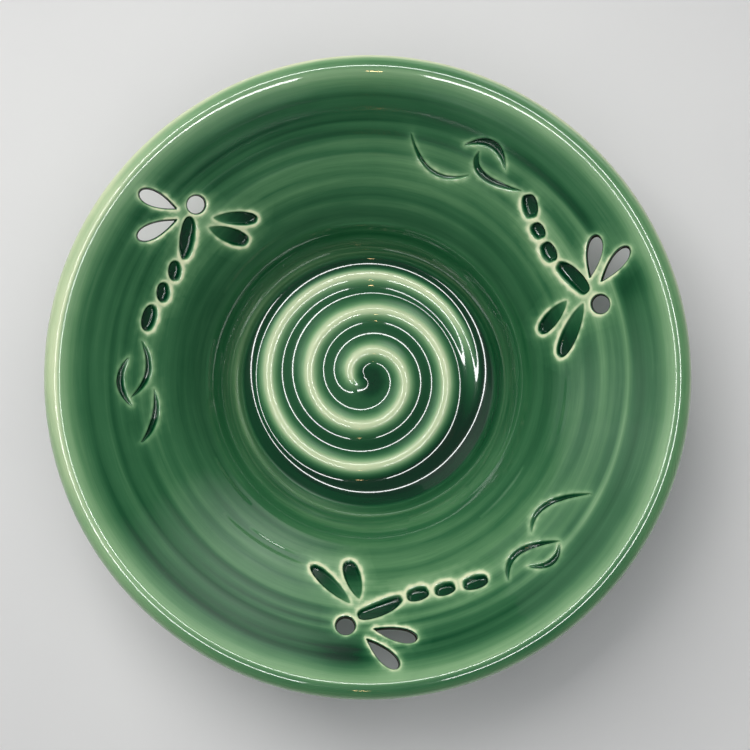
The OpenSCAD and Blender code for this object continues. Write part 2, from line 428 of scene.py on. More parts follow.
class Carving:
    """What the cuts do at each point: how deep they go, how the glaze lies there, and where a
    hole's edge is painted dark as shade.
    """

    def __init__(self, count):
        self.depth, self.pool, self.halo, self.hole_glaze_and_shade = np.zeros((4, count))

    def raise_to(self, name, chosen, values):
        whole = getattr(self, name)
        whole[chosen] = np.maximum(whole[chosen], values)


def halo_of(cut, flat, d, downhill, number):
    """The share of the glaze that has run off round a cut's edge."""
    edge = np.abs(d - HALO_PLACE)
    (line_share, line_reach), (glow_share, glow_reach) = HALO_LINE, HALO_GLOW
    halo = line_share * np.exp(-np.clip(edge - HALO_HALF_WIDTH, 0, None) / line_reach) \
        + glow_share * np.exp(-edge / glow_reach)
    uneven = 1 + 0.2 * np.sin(1.3 * flat[:, 0] + number) * np.sin(1.1 * flat[:, 1] + 2 * number)
    halo *= cut.halo * uneven * (0.62 + 0.38 * downhill)
    return np.clip(halo, 0, 0.96)


def carve(points, cuts):
    """Gathers every cut's work. Where cuts meet, the deepest and the fullest count."""
    carving = Carving(len(points))
    for number, cut in enumerate(cuts):
        chosen, flat = cut.near(points)
        if len(chosen) == 0:
            continue
        d = outline_distance(flat, cut.shape)
        downhill = 0.5 - 0.5 * np.tanh((flat - cut.middle) @ cut.uphill / 1.5)
        if cut.pierced:
            x = np.clip(1 - d / EDGE_R, 0, 1)
            rounded = EDGE_R * (1 - np.sqrt(1 - np.minimum(x, 0.9999) ** 2))
            fall = rounded + 4 * np.clip(-d, 0, 1)
            # Painted shade: the rounded edge going into a hole is drawn as full, dark glaze, for
            # thick glaze and the shadow inside the tunnel.
            carving.raise_to("hole_glaze_and_shade", chosen, ease((0.4 - d) / 0.3))
        else:
            room = cut.half_width(flat[:, 0])
            near_end = 1 - ease(flat[:, 0] / cut.length + 0.5)
            share = (1 - cut.slant * near_end) * np.minimum(1, room / 1.5) ** 0.5
            reach = LIP_OUT + np.minimum(LIP_IN + cut.gentle * downhill, room)
            fall = cut.depth * share * ease((LIP_OUT - d) / reach)
            pool = share ** 0.8 * ease((0.2 - d) / (0.5 + 0.7 * cut.gentle * downhill))
            carving.raise_to("pool", chosen, pool)
        carving.raise_to("depth", chosen, fall)
        halo = halo_of(cut, flat, d, downhill, number)
        carving.halo[chosen] = 1 - (1 - carving.halo[chosen]) * (1 - halo)
    return carving


# ---- throwing rings and the depth of the glaze ----

# Bands along a throwing groove or ridge: radius, half width, and how much thicker the glaze is at
# 0, 90, 180 and 270 degrees (below 0 on a ridge)
BANDS = [
    (55.0, 2.2, (0.08, -0.12, -0.30, -0.10)),
    (61.0, 4.5, (0.02, 0.04, 0.04, -0.18)),
    (74.0, 8.0, (0.05, -0.04, 0.08, -0.13)),
    (92.0, 8.0, (0.02, -0.03, 0.07, -0.07)),
    (82.0, 4.0, (-0.03, -0.05, 0.03, 0.00)),
    (93.0, 1.5, (-0.10, 0.00, 0.06, 0.14)),
    (96.0, 1.3, (-0.14, 0.22, 0.08, -0.02)),
    (98.8, 1.0, (0.02, 0.00, -0.02, 0.20)),
    (101.0, 1.1, (-0.24, 0.18, 0.14, 0.05)),
    (103.6, 1.5, (0.00, 0.40, 0.02, 0.08)),
    (106.3, 1.2, (0.08, 0.02, -0.02, 0.20)),
    (109.2, 1.5, (-0.12, 0.14, 0.02, 0.16)),
]
# The wall's own mean depth of glaze by radius
WALL_GLAZE_R = [52, 53.2, 57, 66, 74, 82, 90, 96, 103, 109, 112, 114, 116, 117.5, 119, 121, 124]
WALL_GLAZE = [0.96, 0.74, 0.69, 0.68, 0.66, 0.58, 0.57, 0.60, 0.62, 0.66, 0.57, 0.47, 0.34, 0.28,
              0.36, 0.42, 0.42]
# Painted light and shade round the rim, on its shoulder and on the brow: how much thicker the glaze
# is drawn at 0, 90, 180 and 270 degrees, lighter towards the light at the top and left and darker
# on the shaded bottom
SHOULDER_LIGHT_AND_SHADE = (0.03, 0.06, -0.28, 0.20)
BROW_LIGHT_AND_SHADE = (-0.20, -0.42, -0.24, -0.08)
# Thick patches round the heads: radius, angle, two half sizes, how much thicker
HEAD_POOLS = [
    (108, 265.5, 5.5, 5.5, 0.26), (105.5, 144, 4.5, 4.5, 0.20), (108.5, 19.5, 5.5, 4.5, 0.24),
    (101, 270, 4.0, 4.0, 0.16), (84, 8, 5.0, 5.0, 0.10),
]
# Thin ridges left by a fingertip: radius, first and last angle
FINGER_RIDGES = [
    (61, -2, 24), (57.6, 44, 62), (65.4, 166, 188), (70, 208, 228), (79.4, -18, 0),
    (72, -52, -30), (79.6, -136, -108), (64, 76, 104), (68.5, 120, 150),
    (76, 232, 250), (60.5, 286, 312), (84, 30, 46),
]
RIDGE_HEIGHT = 0.22
RIDGE_WIDTH = 0.33
# Throwing rings: spacing, height, and how many rings they climb in one turn
THROWING = [(9.1, 0.023, 1), (4.7, 0.011, 2), (2.6, 0.004, 1)]
# How far a band's ridge rises, and how much thinner the glaze is on whatever rises
BAND_HEIGHT = 0.045
THINNING = 2.1


def around(values, theta):
    """Blends four values, for 0, 90, 180 and 270 degrees, smoothly round the dish."""
    v0, v1, v2, v3 = values
    mean, across, upward = (v0 + v1 + v2 + v3) / 4, (v0 - v2) / 2, (v1 - v3) / 2
    return mean + across * np.cos(theta) + upward * np.sin(theta) \
        + (v0 - v1 + v2 - v3) / 4 * np.cos(2 * theta)


def wander(theta, seed, size):
    """A smooth wobble round the dish that meets itself."""
    rng = np.random.default_rng(seed)
    total = np.zeros_like(theta)
    for k in range(1, 6):
        total += rng.normal() / k * np.cos(k * theta + rng.uniform(0, 2 * np.pi))
    return size * total


def band_waves(r, theta):
    """Each band's number, and how much it thickens the glaze at every point."""
    for radius, width, strengths in BANDS:
        number = int(radius * 10)
        offset = r - radius - wander(theta, number, 0.3)
        yield number, around(strengths, theta) * np.exp(-(offset / width) ** 2)


def throwing(s, theta):
    """Height of the throwing rings above the plain section."""
    r = SECTION.radius(s)
    height = np.zeros_like(s)
    for n, (spacing, size, laps) in enumerate(THROWING):
        strength = np.clip(1 + wander(theta, 20 + n, 0.4), 0.2, 2)
        phase = 2 * np.pi * s / spacing - laps * theta + wander(theta, n, 0.5)
        height += size * strength * np.cos(phase)
    for _, wave in band_waves(r, theta):
        height -= BAND_HEIGHT * wave
    for n, (radius, first, last) in enumerate(FINGER_RIDGES):
        angle = (np.degrees(theta) - first) % 360
        share = np.sin(np.pi * np.clip(angle / (last - first), 0, 1)) ** 0.6
        offset = r - radius - wander(theta, 60 + n, 0.25)
        height += RIDGE_HEIGHT * share * np.exp(-(offset / RIDGE_WIDTH) ** 2)
    return height * ease((s - 1) / 6) * ease((SECTION.lip - 1 - s) / 13)


def inner_glaze(s, theta, carving, height):
    """0 where the glaze breaks thin over an edge, 1 where it pools; a hole's rounded edge is also
    drawn at 1, as thick glaze and painted shade.
    """
    r = SECTION.radius(s)
    glaze = np.interp(r, WALL_GLAZE_R, WALL_GLAZE)
    for number, wave in band_waves(r, theta):
        glaze += (1 + wander(theta, number + 1, 0.3)) * wave
    for radius, angle, out, along, strength in HEAD_POOLS:
        turn = (np.degrees(theta) - angle + 180) % 360 - 180
        glaze += strength * np.exp(-((r - radius) / out) ** 2 - (turn / along) ** 2)
    glaze -= THINNING * np.clip(height, -0.04, 0.025)
    glaze *= 1 - carving.halo
    # Pools and the holes' edges are drawn full; at a hole's edge that darkness is partly painted
    # shade.
    full = np.maximum(carving.pool, carving.hole_glaze_and_shade)
    return np.clip(glaze * (1 - full) + full, 0, 1)


def rim_glaze(s, theta):
    """Thin on the rim's shoulder, thicker in the throat under it, with painted light and shade that
    change round the dish.
    """
    r = SECTION.radius(s)
    after_crest = ease((s - SECTION.lip - 3) / 5)
    throat = ease((s - SECTION.throat + 4) / 4)
    on_rim = ease((s - SECTION.lip) / 2)
    # Painted light and shade: the shoulder and the brow are drawn lighter towards the light at the
    # top and left, darker on the shaded bottom.
    inner = np.interp(r, WALL_GLAZE_R, WALL_GLAZE) + on_rim * around(SHOULDER_LIGHT_AND_SHADE, theta)
    brow = 0.42 + around(BROW_LIGHT_AND_SHADE, theta)
    return np.clip(inner * (1 - after_crest) + after_crest * brow + 0.25 * throat, 0, 1)


def outer_glaze(s, carving):
    """Darker downwards, where the glaze ran, and thin at the holes' edges."""
    down = (s - SECTION.throat) / (SECTION.heel - SECTION.throat)
    return np.clip((0.65 + 0.25 * ease(down * 1.3 - 0.4)) * (1 - carving.halo), 0, 1)


def sweep(s, theta, height):
    """Points at a height above the section, turned round the dish."""
    r = SECTION.radius(s) + height * SECTION.at(s, SECTION.normal[:, 0])
    z = SECTION.at(s, SECTION.line[:, 1]) + height * SECTION.at(s, SECTION.normal[:, 1])
    return polar(r, theta, z)


# A surface gives points and the glaze's depth on the unrolled dish: u is the length round it from
# the seam, at the flare's start, and s the length along the section.
UNROLLED = 2 * math.pi * FLARE_R


def direction(u):
    return u / FLARE_R + SEAM


def inner_surface(u, s):
    theta = direction(u)
    carving = carve(sweep(s, theta, 0), CUTS)
    height = throwing(s, theta)
    return sweep(s, theta, height - carving.depth), inner_glaze(s, theta, carving, height)


def outer_surface(u, s):
    theta = direction(u)
    carving = carve(sweep(s, theta, 0), EXITS)
    down = s - SECTION.throat
    turned = ease(down / 5) * ease((SECTION.heel - s) / 4)
    rings = 0.06 * np.cos(2 * np.pi * down / 5.3 - theta) + 0.05 * np.cos(2 * np.pi * down / 3.1)
    return sweep(s, theta, turned * rings - carving.depth), outer_glaze(s, carving)


def rim_surface(u, s):
    theta = direction(u)
    share = ease((s - SECTION.lip) / 4) * ease((SECTION.throat - s) / 4)
    wave = share * (wander(theta, 7, 0.05) - 0.12)
    return sweep(s, theta, wave), rim_glaze(s, theta)


# Side of the floor towards which the wet glaze ran
LOW_SIDE = math.radians(-60)


def crest_radius(turn):
    """The crest winds clockwise outwards from the left and settles near the floor's edge."""
    r = SPIRAL_PITCH * (turn + 0.4)
    settle = 4
    last = WELL_R - 7
    start = last - settle
    return np.where(r < start, np.maximum(r, 0.3), last - settle * np.exp(-(r - start) / settle))


def spiral_share(x, y):
    """0 in the spiral's valleys and 1 on its crest."""
    dx, dy = x - SPIRAL_CENTRE[0], y - SPIRAL_CENTRE[1]
    reach = np.hypot(dx, dy)
    turn = (0.5 - np.arctan2(dy, dx) / (2 * np.pi)) % 1.0
    share = np.zeros_like(reach)
    half = SPIRAL_PITCH / 2
    for lap in range(-1, 3):
        t = turn + lap
        crest = crest_radius(t)
        inner, outer = np.minimum(half, crest + 0.5), np.minimum(half, WELL_R - crest)
        width = np.where(reach < crest, inner, outer)
        bump = ((1 + np.cos(np.pi * np.clip((reach - crest) / width, -1, 1))) / 2) ** 1.5
        alive = ease((t + 0.3) / 0.35) * (1 - ease((t - SPIRAL_LAPS + 0.14) / 0.26))
        share += bump * alive
    return share


def floor_surface(x, y):
    r, theta = np.hypot(x, y), np.arctan2(y, x)
    share = spiral_share(x, y)
    z = VALLEY_Z + corner_rise(r) + SPIRAL_HEIGHT * share
    glaze = np.interp(share, [0, 0.3, 0.6, 0.85, 1], [0.74, 0.58, 0.39, 0.19, 0.09])
    low_side = 0.5 + 0.5 * np.cos(theta - LOW_SIDE)
    pool = 0.25 * low_side * ease((r - 34) / 8) + 0.14 * low_side * ease((r - 16) / 8)
    pool += 0.2 * (1 - ease((r - 4) / 5))
    glaze += pool * (1 - share)
    deepest = 0.94 + 0.04 * np.cos(theta)
    glaze = glaze + (deepest - glaze) * ease((r - 46.5) / 3.5)
    return np.stack([x, y, z], -1), np.clip(glaze, 0, 1)


# ---- meshes ----

def triangulate(points, edges=()):
    """Delaunay triangles of flat points that keep the edges, and each input point's number."""
    found = delaunay_2d_cdt([Vector(p) for p in points.tolist()], list(edges), [], 0, 1e-5)
    flat = np.array([v[:] for v in found[0]])
    number = np.zeros(len(points), int)
    for i, originals in enumerate(found[3]):
        for original in originals:
            number[original] = i
    return flat, np.array(found[2]), number


def unit(v):
    return v / np.maximum(np.linalg.norm(v, axis=1), 1e-12)[:, None]


def normals_of(surface, a, b, flip):
    """Exact directions of a surface at its own coordinates."""
    h = 0.04
    along = surface(a + h, b)[0] - surface(a - h, b)[0]
    across = surface(a, b + h)[0] - surface(a, b - h)[0]
    return unit(np.cross(across, along) if flip else np.cross(along, across))


class Shell:
    """A closed piece, gathered from sheets of triangles that share border points."""

    def __init__(self):
        self.points, self.glaze, self.faces, self.normals, self.count = [], [], [], [], 0

    def add_points(self, points, glaze):
        first = self.count
        self.points.append(points)
        self.glaze.append(np.broadcast_to(glaze, len(points)))
        self.count += len(points)
        return np.arange(first, self.count)

    def add_faces(self, faces, normals=None):
        """Faces by point number, with a direction for each corner, or flat ones."""
        faces = np.asarray(faces)
        if normals is None:
            points = np.vstack(self.points)
            a, b, c = (points[faces[:, i]] for i in range(3))
            normals = np.repeat(unit(np.cross(b - a, c - a))[:, None], 3, axis=1)
        self.faces.append(faces)
        self.normals.append(normals)

    def bridge(self, low, high, normals=None):
        """A closed strip of triangles between two rows; low to high turns left."""
        def strip(row, following):
            a, b, c, d = row, np.roll(row, -1, 0), np.roll(following, -1, 0), following
            return np.concatenate([np.stack([a, b, c], 1), np.stack([a, c, d], 1)])
        self.add_faces(strip(low, high), None if normals is None else strip(*normals))

    def cap(self, row):
        """Closes a row of points from below with a fan round its middle."""
        points = np.vstack(self.points)[row]
        centre = self.add_points(points.mean(0)[None], self.glaze[0][0])[0]
        self.add_faces(np.stack([np.full(len(row), centre), np.roll(row, -1), row], 1))

    def mesh(self, name):
        """The piece's mesh, without the points that no face uses."""
        faces = np.vstack(self.faces)
        used, compact = compacted(faces, self.count)
        mesh = bpy.data.meshes.new(name)
        mesh.from_pydata((np.vstack(self.points)[used] * MM).tolist(), [], compact[faces].tolist())
        mesh.polygons.foreach_set("use_smooth", np.ones(len(faces), bool))
        depth = mesh.attributes.new("glaze", "FLOAT", "POINT")
        depth.data.foreach_set("value", np.concatenate(self.glaze)[used].astype(np.float32))
        mesh.normals_split_custom_set(np.vstack(self.normals).reshape(-1, 3).tolist())
        return mesh


def put(name, data):
    thing = bpy.data.objects.new(name, data)
    bpy.context.scene.collection.objects.link(thing)
    return thing


def show(shell, name, node, material):
    """Makes the piece and gives it its place on the frame."""
    mesh = shell.mesh(name)
    mesh.materials.append(material)
    piece = put(name, mesh)
    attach(piece, "root")
    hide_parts(node)
    return piece


def lattice(s_rows, columns):
    """Staggered rows of points across the unrolled wall, plus its two side borders."""
    points, left, right, rows = [], [], [], []
    for j, s in enumerate(s_rows):
        end = j in (0, len(s_rows) - 1)
        count = COLUMNS if end else columns
        stagger = 0.0 if j % 2 == 0 or end else 0.5
        first = len(points)
        points += [(x, s) for x in (np.arange(count) + stagger) * UNROLLED / count]
        rows.append(np.arange(first, len(points)))
        if stagger == 0:
            left.append(first)
            right.append(len(points))
            points.append((UNROLLED, s))
    return np.array(points, float), rows[0], rows[-1], np.array(left), np.array(right)


def closed_edges(numbers):
    return list(zip(numbers.tolist(), np.roll(numbers, -1).tolist()))


def compacted(faces, count):
    """The numbers of the points that faces use, and the new number for each old one."""
    used = np.unique(faces)
    compact = np.zeros(count, int)
    compact[used] = np.arange(len(used))
    return used, compact


def clear_of_cuts(base, cuts, offsets):
    """Which points of the lattice leave room for the rows that follow the cuts."""
    plain = sweep(base[:, 1], direction(base[:, 0]), 0)
    clear = np.ones(len(base), bool)
    for cut in cuts:
        chosen, flat = cut.near(plain)
        d = outline_distance(flat, cut.outline)
        inner = -np.inf if cut.pierced else min(offsets) - 0.3
        clear[chosen[(d > inner) & (d < max(offsets) + 0.35)]] = False
    return clear


def cut_rows(cuts, offsets, s_of_radius, drop, count):
    """Rows of points that follow the cuts, the edges to keep, and the holes' own rows."""
    rows, edges, holes = [], [], []
    for cut, offset in [(c, o) for c in cuts for o in offsets if o >= 0 or not c.pierced]:
        flat = cut.loop(offset)
        if len(flat) == 0:
            continue
        x, y, _ = cut.world(flat, drop).T
        angle = (np.arctan2(y, x) - SEAM) % (2 * math.pi)
        rows.append(np.stack([angle * FLARE_R, s_of_radius(np.hypot(x, y))], -1))
        numbers = np.arange(count, count + len(flat))
        count += len(flat)
        if offset == 0:
            edges += closed_edges(numbers)
            if cut.pierced:
                holes.append((cut, numbers, rows[-1]))
    return rows, edges, holes


def outside_holes(flat, faces, holes):
    """The triangles that don't lie in a hole."""
    middle = flat[faces].mean(1)
    solid = np.ones(len(faces), bool)
    for _, _, outline in holes:
        near = np.nonzero(((middle > outline.min(0)) & (middle < outline.max(0))).all(1))[0]
        solid[near[outline_distance(middle[near], outline) < 0]] = False
    return faces[solid]


def wall_sheet(shell, surface, s_rows, columns, cuts, offsets, s_of_radius, drop):
    """Triangulates the unrolled wall round its cuts. Returns its end rows and the holes' rows."""
    base, first_row, last_row, left, right = lattice(s_rows, columns)
    keep = clear_of_cuts(base, cuts, offsets)
    keep[np.r_[first_row, last_row, left, right]] = True
    kept = np.cumsum(keep) - 1
    rows, edges, holes = cut_rows(cuts, offsets, s_of_radius, drop, int(keep.sum()))
    flat, faces, number = triangulate(np.vstack([base[keep], *rows]), edges)
    faces = outside_holes(flat, faces, holes)
    join = np.arange(len(flat))
    join[number[kept[right]]] = number[kept[left]]
    faces = join[faces][:, ::-1]
    a, b, c = faces.T
    faces = faces[(a != b) & (b != c) & (a != c)]
    used, compact = compacted(faces, len(flat))
    flat, faces = flat[used], compact[faces]
    place, glaze = surface(flat[:, 0], flat[:, 1])
    normals = normals_of(surface, flat[:, 0], flat[:, 1], flip=True)
    numbers = shell.add_points(place, glaze)
    shell.add_faces(numbers[faces], normals[faces])

    def found(old):
        return numbers[compact[join[number[old]]]]
    ends = [found(kept[row]) for row in (first_row, last_row)]
    return ends, [(cut, found(loop)) for cut, loop, _ in holes]


def join_tunnel(shell, cut, upper, lower):
    """The clay wall of a hole, from the inner face's edge to the outer face's, coloured dark by
    glaze stain and painted shade.
    """
    points = np.vstack(shell.points)
    rows = [upper]
    for t in (0.04, 0.3, 0.6, 0.9):
        # Painted shade: the tunnel's clay takes the darkest colour, past the glaze's deepest green.
        rows.append(shell.add_points(points[upper] * (1 - t) + points[lower] * t, BARE_STAINED_AND_SHADED))
    rows.append(lower)
    ahead = np.roll(points[upper], -1, 0) - np.roll(points[upper], 1, 0)
    n = unit(np.cross(ahead, -cut.inward))
    for above, below in zip(rows, rows[1:]):
        shell.bridge(above, below, normals=(n, n))


def ring(r, z, count=COLUMNS):
    return polar(r, SEAM + 2 * np.pi * np.arange(count) / count, z)


# Distances from a cut's outline at which rows of points follow it
INNER_OFFSETS = (0.0, 0.1, 0.3, 0.55, 0.85, 1.25,
                 -0.25, -0.5, -0.8, -1.15, -1.5, -1.9, -2.35, -2.8)
OUTER_OFFSETS = (0.0, 0.2, 0.6, 1.2)


def make_wall(material):
    shell = Shell()
    inner_rows = np.append(np.linspace(0, 5, 12)[:-1], np.linspace(5, SECTION.lip, 74))
    (well_row, lip_row), upper = wall_sheet(
        shell, inner_surface, inner_rows, COLUMNS, CUTS, INNER_OFFSETS, SECTION.inner_s, 0)
    outer_rows = np.linspace(SECTION.throat, SECTION.heel, 52)
    (throat_row, heel_row), lower = wall_sheet(
        shell, outer_surface, outer_rows, COLUMNS // 2, EXITS, OUTER_OFFSETS, SECTION.outer_s,
        WALL_T)
    for (cut, top), (_, bottom) in zip(upper, lower):
        join_tunnel(shell, cut, top, bottom)
    foot_row = shell.add_points(ring(WELL_R, FOOT_H), 0.9)
    shell.bridge(throat_row, lip_row)
    shell.bridge(foot_row, heel_row)
    shell.bridge(well_row, foot_row)
    return show(shell, "glazed_wall", "pierced_wall", material)


def make_rim(material):
    shell = Shell()
    u = UNROLLED * np.arange(COLUMNS) / COLUMNS
    rows, normals = [], []
    for s in np.linspace(SECTION.lip, SECTION.throat, 54):
        rows.append(shell.add_points(*rim_surface(u, np.full(COLUMNS, s))))
        normals.append(normals_of(rim_surface, u, np.full(COLUMNS, s), flip=True))
    for j in range(len(rows) - 1):
        shell.bridge(rows[j + 1], rows[j], (normals[j + 1], normals[j]))
    shell.bridge(rows[0], rows[-1])
    return show(shell, "glazed_rim", "rolled_rim", material)


# How far below the floor's level the spiral reaches
BED_DEPTH = 1.0
# Rows of the floor's underside: radius, height above the foot's top, depth of the glaze
UNDERSIDE = [
    (WELL_R, 0, 0.7), (FOOT_R - FOOT_W - 0.5, 0, 0.5), (30, 0.1, 0.45), (12, 0.15, 0.5),
]


def ridge_outline():
    """The edge of the spiral's ridge as seen from above."""
    def side(turns, sign):
        crest = crest_radius(turns)
        room = np.minimum.reduce([np.full_like(turns, 5.6), crest * 0.75 + 0.4,
                                  WELL_R - 3.5 - crest, 0.4 + 12 * (SPIRAL_LAPS - turns)])
        return polar(crest + sign * room, np.pi - 2 * np.pi * turns) + SPIRAL_CENTRE
    turns = np.linspace(-0.2, SPIRAL_LAPS, 900)
    return evenly(np.vstack([side(turns, 1), side(turns[::-1], -1)]), 0.6)


def disc_points(step):
    """A triangular lattice inside the floor's edge."""
    rows = np.arange(-WELL_R, WELL_R, step * 0.866)
    row = np.arange(-WELL_R, WELL_R, step)
    points = np.array([(x + (j % 2) * step / 2, y) for j, y in enumerate(rows) for x in row])
    return points[np.hypot(*points.T) < WELL_R - 0.35]


def gap_to(outline, points, chunk=4000):
    """Distance of many points to a closed outline, below 0 inside it."""
    return np.concatenate([outline_distance(points[i:i + chunk], outline)
                           for i in range(0, len(points), chunk)])


def floor_shell(place, glaze):
    """The points of the floor's surface, and of the level bed on which the spiral lies."""
    shell = Shell()
    top = shell.add_points(place, glaze)
    bed = shell.add_points(place * [1, 1, 0] + [0, 0, VALLEY_Z - BED_DEPTH], glaze)
    return shell, top, bed


def make_floor(floor_material, ridge_material):
    """The floor disc and the spiral that lies in it share one surface."""
    outline = ridge_outline()
    border = ring(WELL_R, 0)[:, :2]
    inside = disc_points(0.72)
    inside = inside[np.abs(gap_to(outline, inside)) > 0.35]
    numbers = np.arange(len(border), len(border) + len(outline))
    points = np.vstack([border, outline, inside])
    flat, faces, number = triangulate(points, closed_edges(numbers))
    ridge = gap_to(outline, flat[faces].mean(1)) < 0
    place, glaze = floor_surface(flat[:, 0], flat[:, 1])
    normals = normals_of(floor_surface, flat[:, 0], flat[:, 1], flip=False)
    turned = np.cross(outline, np.roll(outline, -1, 0)).sum() > 0
    edge = number[numbers][::1 if turned else -1]

    spiral, top, bed = floor_shell(place, glaze)
    spiral.add_faces(top[faces[ridge]], normals[faces[ridge]])
    spiral.add_faces(bed[faces[ridge]][:, ::-1])
    spiral.bridge(bed[edge], top[edge])
    show(spiral, "spiral", "spiral_ridge", ridge_material)

    floor, top, bed = floor_shell(place, glaze)
    floor.add_faces(top[faces[~ridge]], normals[faces[~ridge]])
    floor.add_faces(bed[faces[ridge]])
    floor.bridge(top[edge], bed[edge])
    above = top[number[np.arange(len(border))]]
    for r, rise, depth in UNDERSIDE:
        row = floor.add_points(ring(r, FOOT_H + rise), depth)
        floor.bridge(row, above)
        above = row
    floor.cap(above)
    show(floor, "well_bottom", "well_floor", floor_material)


def make_foot(material):
    """The turned, unglazed ring, with the soft tool lines of its trimming."""
    inner_r, edge = FOOT_R - FOOT_W, 1.0
    outline = evenly(np.array([[inner_r + edge, 0], [FOOT_R - edge, 0], [FOOT_R, edge],
                               [FOOT_R, FOOT_H], [inner_r - edge, FOOT_H], [inner_r, edge]]), 0.35)
    shell = Shell()
    rows, a = [], np.radians(np.arange(360))
    rng = np.random.default_rng(5)
    middle = outline.mean(0)
    for r, z in outline:
        low = z < FOOT_H - 0.4
        inset = (0.05 * rng.uniform(0, 1) + 0.03 * np.cos(3 * a + rng.uniform(0, 6))) * low
        inwards = 0.7 * np.sign(middle - (r, z))
        row_r, row_z = r + inwards[0] * inset, z + inwards[1] * inset * (z > 0.5)
        rows.append(shell.add_points(polar(row_r, a, row_z), z / FOOT_H))
    for row, following in zip(rows, rows[1:] + rows[:1]):
        shell.bridge(row, following)
    piece = show(shell, "bare_foot", "foot_ring", material)
    piece.data.normals_split_custom_set([(0, 0, 0)] * len(piece.data.loops))
    return piece


# ---- materials ----

class Nodes:
    """Short helpers for a material's node tree."""

    def __init__(self, name):
        self.material = bpy.data.materials.new(name)
        self.material.use_nodes = True
        self.tree = self.material.node_tree
        self.shader = self.tree.nodes["Principled BSDF"]

    def add(self, kind, **settings):
        node = self.tree.nodes.new(kind)
        for name, value in settings.items():
            setattr(node, name, value)
        return node

    def link(self, source, target):
        self.tree.links.new(source, target)

    def math(self, operation, *values):
        node = self.add("ShaderNodeMath", operation=operation)
        for socket, value in zip(node.inputs, values):
            if isinstance(value, (int, float)):
                socket.default_value = value
            else:
                self.link(value, socket)
        return node.outputs[0]

    def times(self, a, b):
        return self.math("MULTIPLY", a, b)

    def point(self):
        """The point's own place, in metres."""
        return self.add("ShaderNodeTexCoord").outputs["Object"]

    def noise(self, vector, scale, detail=2.0, roughness=0.5):
        node = self.add("ShaderNodeTexNoise")
        settle(node, {"Scale": scale, "Detail": detail, "Roughness": roughness})
        self.link(vector, node.inputs["Vector"])
        return node.outputs["Fac"]

    def wheel_vector(self, around_scale, out_scale):
        """Coordinates whose noise is drawn out into streaks round the wheel's axis."""
        parts = self.add("ShaderNodeSeparateXYZ")
        self.link(self.point(), parts.inputs[0])
        x, y, z = parts.outputs
        squares = self.math("ADD", self.times(x, x), self.times(y, y))
        r = self.math("MAXIMUM", self.math("SQRT", squares), 0.004)
        height = self.math("ADD", r, self.times(z, 0.7))
        join = self.add("ShaderNodeCombineXYZ")
        for value, socket in zip((x, y), join.inputs):
            self.link(self.times(self.math("DIVIDE", value, r), around_scale), socket)
        self.link(self.times(height, out_scale), join.inputs[2])
        return join.outputs[0]

    def mottled(self, total, noise, amount):
        """Adds a noise that is 0 on average."""
        return self.math("ADD", total, self.times(self.math("SUBTRACT", noise, 0.5), amount))

    def drive(self, name, value, stops, interpolation="LINEAR"):
        """Drives one of the shader's inputs by a ramp. A single number is a grey."""
        node = self.add("ShaderNodeValToRGB")
        node.color_ramp.interpolation = interpolation
        elements = node.color_ramp.elements
        while len(elements) < len(stops):
            elements.new(0.5)
        for element, (position, colour) in zip(elements, stops):
            element.position = position
            element.color = (*np.broadcast_to(colour, 3), 1)
        self.link(value, node.inputs[0])
        self.link(node.outputs[0], self.shader.inputs[name])

    def bump(self, height, strength, distance):
        node = self.add("ShaderNodeBump")
        settle(node, {"Strength": strength, "Distance": distance})
        self.link(height, node.inputs["Height"])
        self.link(node.outputs[0], self.shader.inputs["Normal"])


def settle(node, values):
    for name, value in values.items():
        node.inputs[name].default_value = value


def srgb(r, g, b):
    """The linear values of a colour that is given as it shows on a screen."""
    c = np.array([r, g, b]) / 255
    return tuple(np.where(c <= 0.04045, c / 12.92, ((c + 0.055) / 1.055) ** 2.4).tolist())


# The glaze's colour by its depth; past 1 is the bare clay inside a hole, stained by the glaze and
# darkened further as painted shade
GLAZE_STOPS = [
    (0.00, srgb(224, 230, 190)), (0.12, srgb(198, 215, 172)), (0.28, srgb(132, 172, 126)),
    (0.45, srgb(88, 136, 92)), (0.62, srgb(50, 104, 66)), (0.80, srgb(20, 78, 44)),
    (0.90, srgb(3, 62, 33)), (1.02, srgb(0, 42, 24)), (1.14, srgb(46, 48, 30)),
]
BARE_STAINED_AND_SHADED = 1.24
ROUGHNESS_STOPS = [(0.0, 0.42), (0.25, 0.26), (0.55, 0.16), (0.86, 0.16), (0.93, 0.9)]
COAT_STOPS = [(0.0, 0.3), (0.2, 1.0), (0.86, 1.0), (0.93, 0.0)]
CLAY_STOPS = [(0.30, srgb(112, 84, 60)), (0.42, srgb(168, 136, 104)), (0.55, srgb(190, 160, 126)),
              (0.75, srgb(206, 180, 148))]
TABLE_STOPS = [(0.3, srgb(222, 222, 222)), (0.7, srgb(230, 230, 229))]


